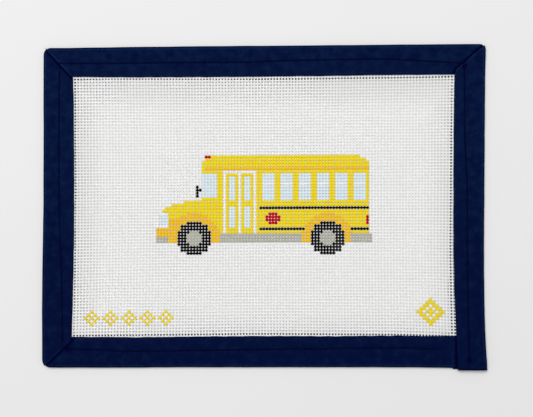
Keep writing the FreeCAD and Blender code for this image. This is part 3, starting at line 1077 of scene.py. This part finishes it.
@dataclass
class Strip:
    """One length of the folded binding, with its measured edges and its two ends."""

    name: str
    side: Side
    seed: int
    outer: Line
    seam: Line
    inner: Line
    overlap: Line
    start: End
    stop: End
    rise: Line = Line(((-200, 0), (200, 0)))  # what is added to the front leg's height
    sewn: Point = (-200, 200)  # between which places it is sewn
    knots: tuple[float, ...] = ()  # where the seam's thread is tied off
    spacing: float = 0.7
    near: tuple[float, ...] = (0.0, 0.1, 0.22, 0.4, 0.65, 0.95, 1.3)  # first cross-sections at each end
    clear: float = 1.8  # where the even ones begin
    ease: float = 4.0  # length over which the seam starts and stops drawing
    cloth: Cloth = Cloth()

    def stations(self, length: float) -> np.ndarray:
        """Spreads the cross-sections over the strip, closer near its ends.

        Args:
            length: How long the strip is.

        Returns:
            Shares of its length.
        """
        near = np.array(self.near)
        middle = np.linspace(self.clear, length - self.clear, int((length - 2 * self.clear) / self.spacing))
        return np.concatenate([near, middle, length - near[::-1]]) / length

    def across(self, along: np.ndarray, section: np.ndarray) -> np.ndarray:
        """Place across the strip of each point of a section.

        Args:
            along: Places along the strip, one for each point.
            section: Rows as in SECTION.

        Returns:
            The places, in millimetres.
        """
        fold, seam, edge = self.outer.at(along), self.seam.at(along), self.inner.at(along)
        share, inset, _, back = section.T
        place = np.where(share <= 1, fold + (seam - fold) * share, seam + (edge - seam) * (share - 1))
        flutter = self.cloth.fold_wave.at(self.seed, along, 0 * along) * (share < 0.3)
        flutter = flutter + self.cloth.edge_wave.at(self.seed + 1, along, 0 * along) * (share > 1.7)
        return place + self.side.inward * (inset + back * self.overlap.at(along) + flutter)

    def points(self, section: np.ndarray) -> tuple[np.ndarray, np.ndarray]:
        """Places of a section's points at every station.

        Args:
            section: Rows as in SECTION.

        Returns:
            Stations x points x 3, in millimetres, and the painted shadow and highlight that the ends give
            each point.
        """
        share, _, height, _ = section.T
        upper = clamped((height - 0.9) / 0.5)
        along = np.full(len(section), sum(p[0] for p in self.inner.points) / len(self.inner.points))
        low = high = along
        for _ in range(3):
            low = self.start.ends(self.across(low, section), self.side.upright, upper, -1.0)
            high = self.stop.ends(self.across(high, section), self.side.upright, upper, 1.0)
        reach = float((high - low).max())
        along = low + (high - low) * self.stations(reach)[:, None]
        if isinstance(self.stop, Cut) and self.stop.front != self.stop.back:
            longest = low + (high.max() - low) * self.stations(reach)[:, None]
            along = np.minimum(longest, high)
        if isinstance(self.start, Cut):
            along = np.maximum(along, low)
        across = self.across(along, section)
        z = height + upper * self.rise.at(along)
        z = z + upper * self.start.rise(along - low) * np.ones_like(z)
        z = z + upper * self.stop.rise(high - along)
        z = z + self.relief(along, across, share, height)
        places = np.stack([across, along, z] if self.side.upright else [along, across, z], axis=2)
        # Painted shadow and highlight at the ends; the knots darken the cloth where the seam's thread is tied
        # off
        marks = self.start.mark(along - low) + self.stop.mark(high - along)
        for knot in self.knots:
            marks = marks + 1.2 * bell(along - knot, 1.3) * bell(across - self.seam.at(along), 0.9)
        return self.rounded(places), upper * marks

    def tightness(self, along: np.ndarray) -> np.ndarray:
        """How tightly the seam draws the cloth in: 1 where it is sewn, and 0 past its ends."""
        return clamped((along - self.sewn[0]) / self.ease) * clamped((self.sewn[1] - along) / self.ease)

    def relief(self, along: np.ndarray, across: np.ndarray, share: np.ndarray,
               height: np.ndarray) -> np.ndarray:
        """How the cloth swells and puckers.

        Args:
            along: Places along the strip.
            across: Places across it.
            share: Place between fold, seam and inner edge, from 0 to 2.
            height: Height in the section.

        Returns:
            What is added to the height.
        """
        cloth = self.cloth
        top = clamped((height - 1.7) / 0.4)
        off = np.abs(across - self.seam.at(along))
        loose = (1 - self.tightness(along)) * clamped(FACE - height) * (share == 1) * (height > 1.6)
        outer, inner = np.sin(math.pi * clamped(share)), np.sin(math.pi * clamped(share - 1))
        swell = cloth.outer * outer + cloth.inner * inner
        swell = swell * (1 + cloth.uneven.at(self.seed + 2, along, across))
        moved = along / cloth.pucker.along + off / cloth.slant
        tuck = ripple(self.seed + 3, moved, off / cloth.pucker.across)
        tuck = tuck * np.exp(-off / cloth.fade) * cloth.pucker.height
        rumple = cloth.small.at(self.seed + 4, along, across)
        rumple = rumple + cloth.large.at(self.seed + 5, along, across)
        bumps = np.maximum(1 + cloth.bump.at(self.seed + 6, along, across), 0)
        under = clamped((0.3 - height) / 0.3) * cloth.lift * bumps
        sides = clamped(share * 6) * clamped((2 - share) * 8 + 0.3)
        return top * (swell + (tuck + rumple) * sides) + loose + under * clamped(share * 3)

    def rounded(self, places: np.ndarray) -> np.ndarray:
        """Rounds the outer corners off, where two outer folds meet.

        Args:
            places: Places of the strip's points.

        Returns:
            The same, with the corners rounded.
        """
        for end in (self.start, self.stop):
            if isinstance(end, Mitre):
                tip = np.array(end.points[0])
                middle = tip - np.sign(tip) * end.corner
                reach = (places[..., :2] - middle) * np.sign(tip)
                square = np.maximum(reach[..., 0], reach[..., 1])
                direct = np.maximum(np.hypot(reach[..., 0], reach[..., 1]), 1e-6)
                scale = np.where((reach > 0).all(-1), square / direct, 1)
                places = places.copy()
                places[..., :2] = middle + reach * scale[..., None] * np.sign(tip)
        return places

    def build(self, material: bpy.types.Material) -> bpy.types.Object:
        """Makes the strip's closed mesh, and stores in it its places between the folds and its marks of
        painted shadow and highlight.

        Args:
            material: The cloth.

        Returns:
            The piece.
        """
        section = np.array(SECTION)
        places, joint = self.points(section)
        rows, wide = places.shape[:2]
        count = np.arange(rows * wide).reshape(rows, wide)
        after = np.roll(count, -1, axis=1)
        faces = np.stack([count[:-1], after[:-1], after[1:], count[1:]], axis=2).reshape(-1, 4).tolist()
        faces += [count[0].tolist(), count[-1, ::-1].tolist()]
        mesh = bpy.data.meshes.new(self.name)
        mesh.from_pydata((places.reshape(-1, 3) * MM).tolist(), [], faces)
        inset = np.tile(section[:, 0] + 0.12 * section[:, 1], rows)
        drawn = self.tightness(places[..., 1 if self.side.upright else 0])
        for name, values in (("inset", inset), ("joint", joint), ("drawn", drawn)):
            mesh.attributes.new(name, "FLOAT", "POINT").data.foreach_set("value", values.ravel())
        shape = bmesh.new()
        shape.from_mesh(mesh)
        bmesh.ops.remove_doubles(shape, verts=shape.verts, dist=0.002 * MM)
        bmesh.ops.triangulate(shape, faces=[f for f in shape.faces if len(f.verts) > 4])
        bmesh.ops.recalc_face_normals(shape, faces=shape.faces)
        shape.to_mesh(mesh)
        shape.free()
        mesh.polygons.foreach_set("use_smooth", [True] * len(mesh.polygons))
        mesh.materials.append(material)
        lay_out_flat(mesh)
        return piece_from(self.name, mesh)


TOP_LEFT = ((-102.3, 73.8), (-101.1, 72.6), (-95.1, 66.2), (-89.1, 59.7))
TOP_RIGHT = ((101.9, 75.6), (100.6, 74.7), (96.5, 71.3), (92.2, 67.3), (90.4, 65.9), (88.3, 64.3),
             (87.6, 62.3))
BOTTOM_LEFT = ((-103.0, -74.0), (-101.3, -73.0), (-92.6, -64.5), (-89.7, -61.9), (-88.9, -60.1))


# The four lengths of the tape as measured in the photo: the outer fold, the seam, the inner edge, and how
# far the back leg runs on past the front one
STRIPS: tuple[Strip, ...] = (
    Strip("binding_left", Side.LEFT, 10,
          Line(((-74, -103.1), (-38.4, -103.1), (-21.7, -102.85), (3.2, -102.45), (74, -102.4))),
          Line(((-74, -93.5), (-53, -93.5), (-45, -93.8), (-24, -94.05), (-16, -94.4), (-8, -94.95),
                (7, -95.1), (44, -95.2), (60, -94.85), (74, -94.6))),
          Line(((-62, -89.4), (-55, -89.25), (-38.4, -88.72), (-27.3, -88.42), (-17, -88.22), (3.2, -88.18),
                (22.7, -88.2), (32, -88.28), (40, -88.2), (47, -88.42), (56, -88.6), (62, -88.8))),
          Line(((-70, 0.7), (-50, 0.65), (-34, 0.75), (-8, 0.45), (0, 0.5), (10, 1.0), (25, 1.3), (45, 1.5),
                (60, 1.8), (70, 2.1))),
          Mitre(BOTTOM_LEFT, Role.OVER, 3.8, 0.3), Mitre(TOP_LEFT, Role.UNDER, 3.4),
          sewn=(-65, 200)),
    Strip("binding_top", Side.TOP, 30,
          Line(((-103, 73.75), (-90, 73.8), (-57.6, 74.3), (-6.8, 74.78), (4.8, 74.8), (43.2, 75.15),
                (81.1, 75.5), (103, 75.65))),
          Line(((-103, 66.4), (-67, 66.45), (-45, 66.85), (-12, 66.95), (-1, 67.3), (10, 67.85), (43, 68.35),
                (54, 68.55), (65, 68.1), (76, 67.4), (87, 66.8), (103, 66.3))),
          Line(((-90, 60.33), (-84.5, 60.33), (-62.3, 60.12), (-24, 60.32), (0, 60.5), (8, 60.66),
                (16, 60.68), (30.3, 60.87), (58, 61.35), (82.1, 61.35), (90, 61.33))),
          Line(((-92, 1.9), (-86, 1.5), (-76, 0.9), (-54, 0.87), (-43, 1.0), (-20, 1.1), (-9, 1.25),
                (2, 1.7), (13, 1.8), (24, 2.15), (57, 2.4), (68, 2.3), (79, 2.1), (90, 2.1))),
          Mitre(TOP_LEFT, Role.OVER, 3.4), Mitre(TOP_RIGHT, Role.UNDER, 2.8)),
    Strip("binding_right", Side.RIGHT, 50,
          Line(((-75.5, 102.85), (-71.7, 102.45), (-60.6, 101.8), (-38.4, 101.25), (-16.2, 101.2),
                (28.2, 101.5), (62, 101.7), (76, 102.15))),
          Line(((-75.5, 94.3), (-66, 94.1), (-51, 93.8), (-37, 93.5), (-15, 93.35), (8, 93.35), (15, 93.05),
                (30, 92.3), (38, 92.1), (60, 92.0), (76, 91.9))),
          Line(((-78, 89.2), (-72, 88.7), (-66, 88.45), (-59.2, 88.33), (-50.4, 87.92), (-43.9, 87.68),
                (-32.8, 87.34), (-21.7, 87.07), (-5, 87.05), (15, 87.05), (33.8, 87.1), (56, 87.4),
                (64, 87.6))),
          Line(((-80, 1.7), (-73, 2.1), (-66, 2.75), (-50, 2.75), (-34, 2.6), (-25, 2.4), (0, 2.3), (8, 2.0),
                (16, 1.75), (25, 1.45), (41, 1.05), (58, 1.0), (66, 1.25))),
          Cut(-75.1, -74.8), Mitre(TOP_RIGHT, Role.OVER, 2.8),
          rise=Line(((-80, 0.72), (-60.2, 0.72), (-56.2, 0.0), (80, 0.0))),
          sewn=(-72.5, 200), knots=(-70.3, 65.3)),
    Strip("binding_bottom", Side.BOTTOM, 70,
          Line(((-103, -74.0), (-62.3, -73.98), (-29.9, -73.8), (37.7, -73.8), (75, -73.9), (81.1, -74.1),
                (90, -74.25), (103, -74.3))),
          Line(((-103, -65.2), (-88, -65.4), (-77, -65.75), (-66, -66.35), (-54, -66.4), (-43, -66.15),
                (-10, -65.65), (23, -65.25), (56, -64.85), (67, -65.0), (78, -65.3), (103, -65.4))),
          Line(((-90, -59.63), (-76, -59.77), (-66, -59.8), (-56.7, -59.88), (-30, -59.53), (-6.8, -59.34),
                (2.5, -59.36), (28, -59.4), (44, -59.25), (50, -59.25), (57, -59.15), (66, -59.2),
                (75, -59.42), (80, -59.38), (87, -59.15), (103, -59.1))),
          Line(((-90, 0.95), (-76, 0.95), (-65, 0.95), (-54, 1.2), (-43, 1.7), (-32, 1.9), (-20, 2.0),
                (-9, 1.35), (13, 1.05), (28, 1.25), (42, 1.4), (57, 0.9), (68, 0.9), (90, 1.1))),
          Mitre(BOTTOM_LEFT, Role.UNDER, 3.8), Cut(99.4, 85.9, 11.1),
          sewn=(-200, 81), knots=(-91.0,)),
)


@dataclass
class Binding:
    """The navy tape folded over the four edges of the canvas, and its seam."""

    gauge: float = 0.42  # thickness of the thread
    stitch: float = 2.5  # from one stitch to the next
    tip: Point = (0.46, -0.16)  # a stitch's end: its share of a stitch from the middle, and its height
    bend: Point = (0.36, 0.22)  # the handle beside it
    front: float = 2.0  # height of the seam on the front, and on the back
    back: float = 0.28

    def seam_run(self, strip: Strip, front: bool) -> np.ndarray:
        """Line that a strip's stitches follow.

        Args:
            strip: The strip.
            front: Whether on the front leg or on the back one.

        Returns:
            Its points, in millimetres.
        """
        height = self.front if front else self.back
        line = strip.points(np.array(run(height, 1.0)))[0][:, 0]
        if not front:
            line[:, 2] = height
        along = line[:, 1] if strip.side.upright else line[:, 0]
        low, high = max(along.min(), strip.sewn[0]) + 1.0, min(along.max(), strip.sewn[1]) - 1.0
        return line[(along > low) & (along < high)]

    def seam(self, strip: Strip, name: str, thread: bpy.types.Material) -> bpy.types.Object:
        """Grows the stitches of a strip's seam, on the front and on the back.

        Args:
            strip: The strip.
            name: Name of the seam.
            thread: The thread's material.

        Returns:
            The piece.
        """
        made = []
        for front in (True, False):
            recipe = Recipe(name + ("_front" if front else "_back"), True)
            run = recipe.wire("GeometryNodeMeshToCurve", None, {"Mesh": recipe.start})
            spots = recipe.node("GeometryNodeCurveToPoints", {"mode": "LENGTH"},
                                {"Curve": run, "Length": recipe.length("Stitch pitch", self.stitch)})
            turn = recipe.wire("FunctionNodeAlignRotationToVector", {"axis": "X", "pivot_axis": "Z"},
                               {"Vector": Wire(recipe, spots.outputs["Tangent"])}, "Rotation")
            bow = 1.0 if front else -0.5
            spans = {"Start": (-1, self.tip), "Start Handle": (-1, self.bend),
                     "End Handle": (1, self.bend), "End": (1, self.tip)}
            half = recipe.wire("GeometryNodeCurvePrimitiveBezierSegment", None, {"Resolution": 8} | {
                key: recipe.spot(f"Stitch {key.lower()}", (way * share * self.stitch, 0, height * bow))
                for key, (way, (share, height)) in spans.items()})
            ring = recipe.wire("GeometryNodeCurvePrimitiveCircle", None,
                               {"Resolution": 8, "Radius": recipe.length("Thread radius", self.gauge / 2)})
            bar = recipe.wire("GeometryNodeCurveToMesh", None,
                              {"Curve": half, "Profile Curve": ring, "Fill Caps": True})
            bar = recipe.wire("GeometryNodeSetShadeSmooth", None, {0: bar})
            many = recipe.wire("GeometryNodeInstanceOnPoints", None, {
                "Points": Wire(recipe, spots.outputs["Points"]), "Instance": bar, "Rotation": turn})
            line = self.seam_run(strip, front)
            if front and strip.side is Side.RIGHT:  # sewn back over its first stitches
                line = np.vstack([line[3:0:-1] + (0.15, 0, 0.1), line])
            made.append(recipe.grow(name + ("" if front else "_back"), many, thread, line.tolist()))
        return join_into(made[0], made[1])

    def build(self) -> list[bpy.types.Object]:
        """Makes the strips and their seams, and says what each stands for.

        Returns:
            The pieces.
        """
        cloth, thread = BindingCotton().material(), SewingThread().material()
        made = []
        for strip in STRIPS:
            piece = strip.build(cloth)
            piece.name = strip.name + "_tape"
            made.append(dressed(piece, "binding", strip.name))
            node = strip.name.replace("binding", "seam")
            sewn = self.seam(strip, node, thread)
            sewn.name = node + "_stitches"
            made.append(dressed(sewn, "sewing_thread", node))
        return made


def join_into(first: bpy.types.Object, second: bpy.types.Object) -> bpy.types.Object:
    """Adds a second piece's mesh to the first, and drops the second.

    Args:
        first: The piece that stays.
        second: The piece that goes into it.

    Returns:
        The first.
    """
    shape = bmesh.new()
    shape.from_mesh(first.data)
    shape.from_mesh(second.data)
    shape.to_mesh(first.data)
    shape.free()
    bpy.data.objects.remove(second)
    return first


def dressed(piece: bpy.types.Object, slot: str, node: str) -> bpy.types.Object:
    """Puts a piece on the root body, hides the CAD node that it stands for, and logs which one.

    Args:
        piece: The piece.
        slot: A material slot, which is not used.
        node: The CAD node.

    Returns:
        The same piece.
    """
    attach(piece, "root")
    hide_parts(node)
    LOG.info("%s: %d faces, for %s", piece.name, len(piece.data.polygons), node)
    return piece


# Table, light and camera


@dataclass
class Studio:
    """The pale table, the soft light and the camera straight above."""

    table: float = 1600.0
    glow: float = 0.375  # strength of the room's even light
    window: tuple[float, float, float] = (-180.0, 400.0, 1280.0)
    pane: float = 800.0  # width of the window's soft lamp
    power: float = 15.6  # in watts
    target: Point = (0.65, -0.46)
    height: float = 582.9
    lens: float = 85.0
    sensor: float = 36.0

    def floor(self) -> None:
        """Lays the table under the canvas."""
        half = self.table / 2 * MM
        mesh = bpy.data.meshes.new("table")
        corners = [(-half, -half, 0), (half, -half, 0), (half, half, 0), (-half, half, 0)]
        mesh.from_pydata(corners, [], [(0, 1, 2, 3)])
        mesh.materials.append(TableTop().material())
        piece_from("table", mesh)

    def light(self) -> None:
        """Sets the room's even light, and hangs a soft square lamp that points at the canvas."""
        world = bpy.data.worlds.new("room")
        bpy.context.scene.world = world
        world.use_nodes = True
        tree = Tree(world.node_tree)
        glow = tree.wire("ShaderNodeBackground", None, {"Color": (1.0, 1.0, 1.0, 1.0), "Strength": self.glow})
        tree.node("ShaderNodeOutputWorld", None, {"Surface": glow})
        light = bpy.data.lights.new("window", "AREA")
        light.shape, light.size, light.energy = "SQUARE", self.pane * MM, self.power
        hung = piece_from("window", light)
        hung.location = [v * MM for v in self.window]
        hung.rotation_euler = (-hung.location).to_track_quat("-Z", "Y").to_euler()

    def camera(self) -> None:
        """Puts the camera straight above, with the picture's top upward."""
        lens = bpy.data.cameras.new("camera")
        lens.lens, lens.sensor_width, lens.clip_start = self.lens, self.sensor, 10 * MM
        eye = piece_from("camera", lens)
        eye.location = [v * MM for v in (*self.target, self.height)]
        bpy.context.scene.camera = eye

    def build(self) -> None:
        """Sets up everything that isn't the canvas."""
        self.floor()
        self.light()
        self.camera()
        bpy.context.scene.view_settings.view_transform = "Standard"


# Reading the cloth, and the main build


def declare_cloth(canvas: Sequence[bpy.types.Object], rest: Sequence[bpy.types.Object]) -> None:
    """Gathers the pieces of cloth and reads the places of the strips' points, keeping nothing.

    Args:
        canvas: The pieces of the woven canvas.
        rest: The paint, the binding and its seams, in the order of their making.
    """
    strips = [p for p in rest if p.name.endswith("_tape")]
    list(canvas[:-1]) + [p for p in rest if p not in strips]
    for strip in strips:
        places = numbers(strip.data.vertices, "co", 3)


def main() -> None:
    """Builds the canvas, its paint, its binding and the scene around it."""
    logging.basicConfig(level=logging.INFO, format="%(message)s")
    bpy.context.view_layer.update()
    weave = Weave()
    canvas = weave.build()
    rest = Painting(weave).build() + Binding().build()
    declare_cloth(canvas, rest)
    Studio().build()


if __name__ == "__main__":
    main()
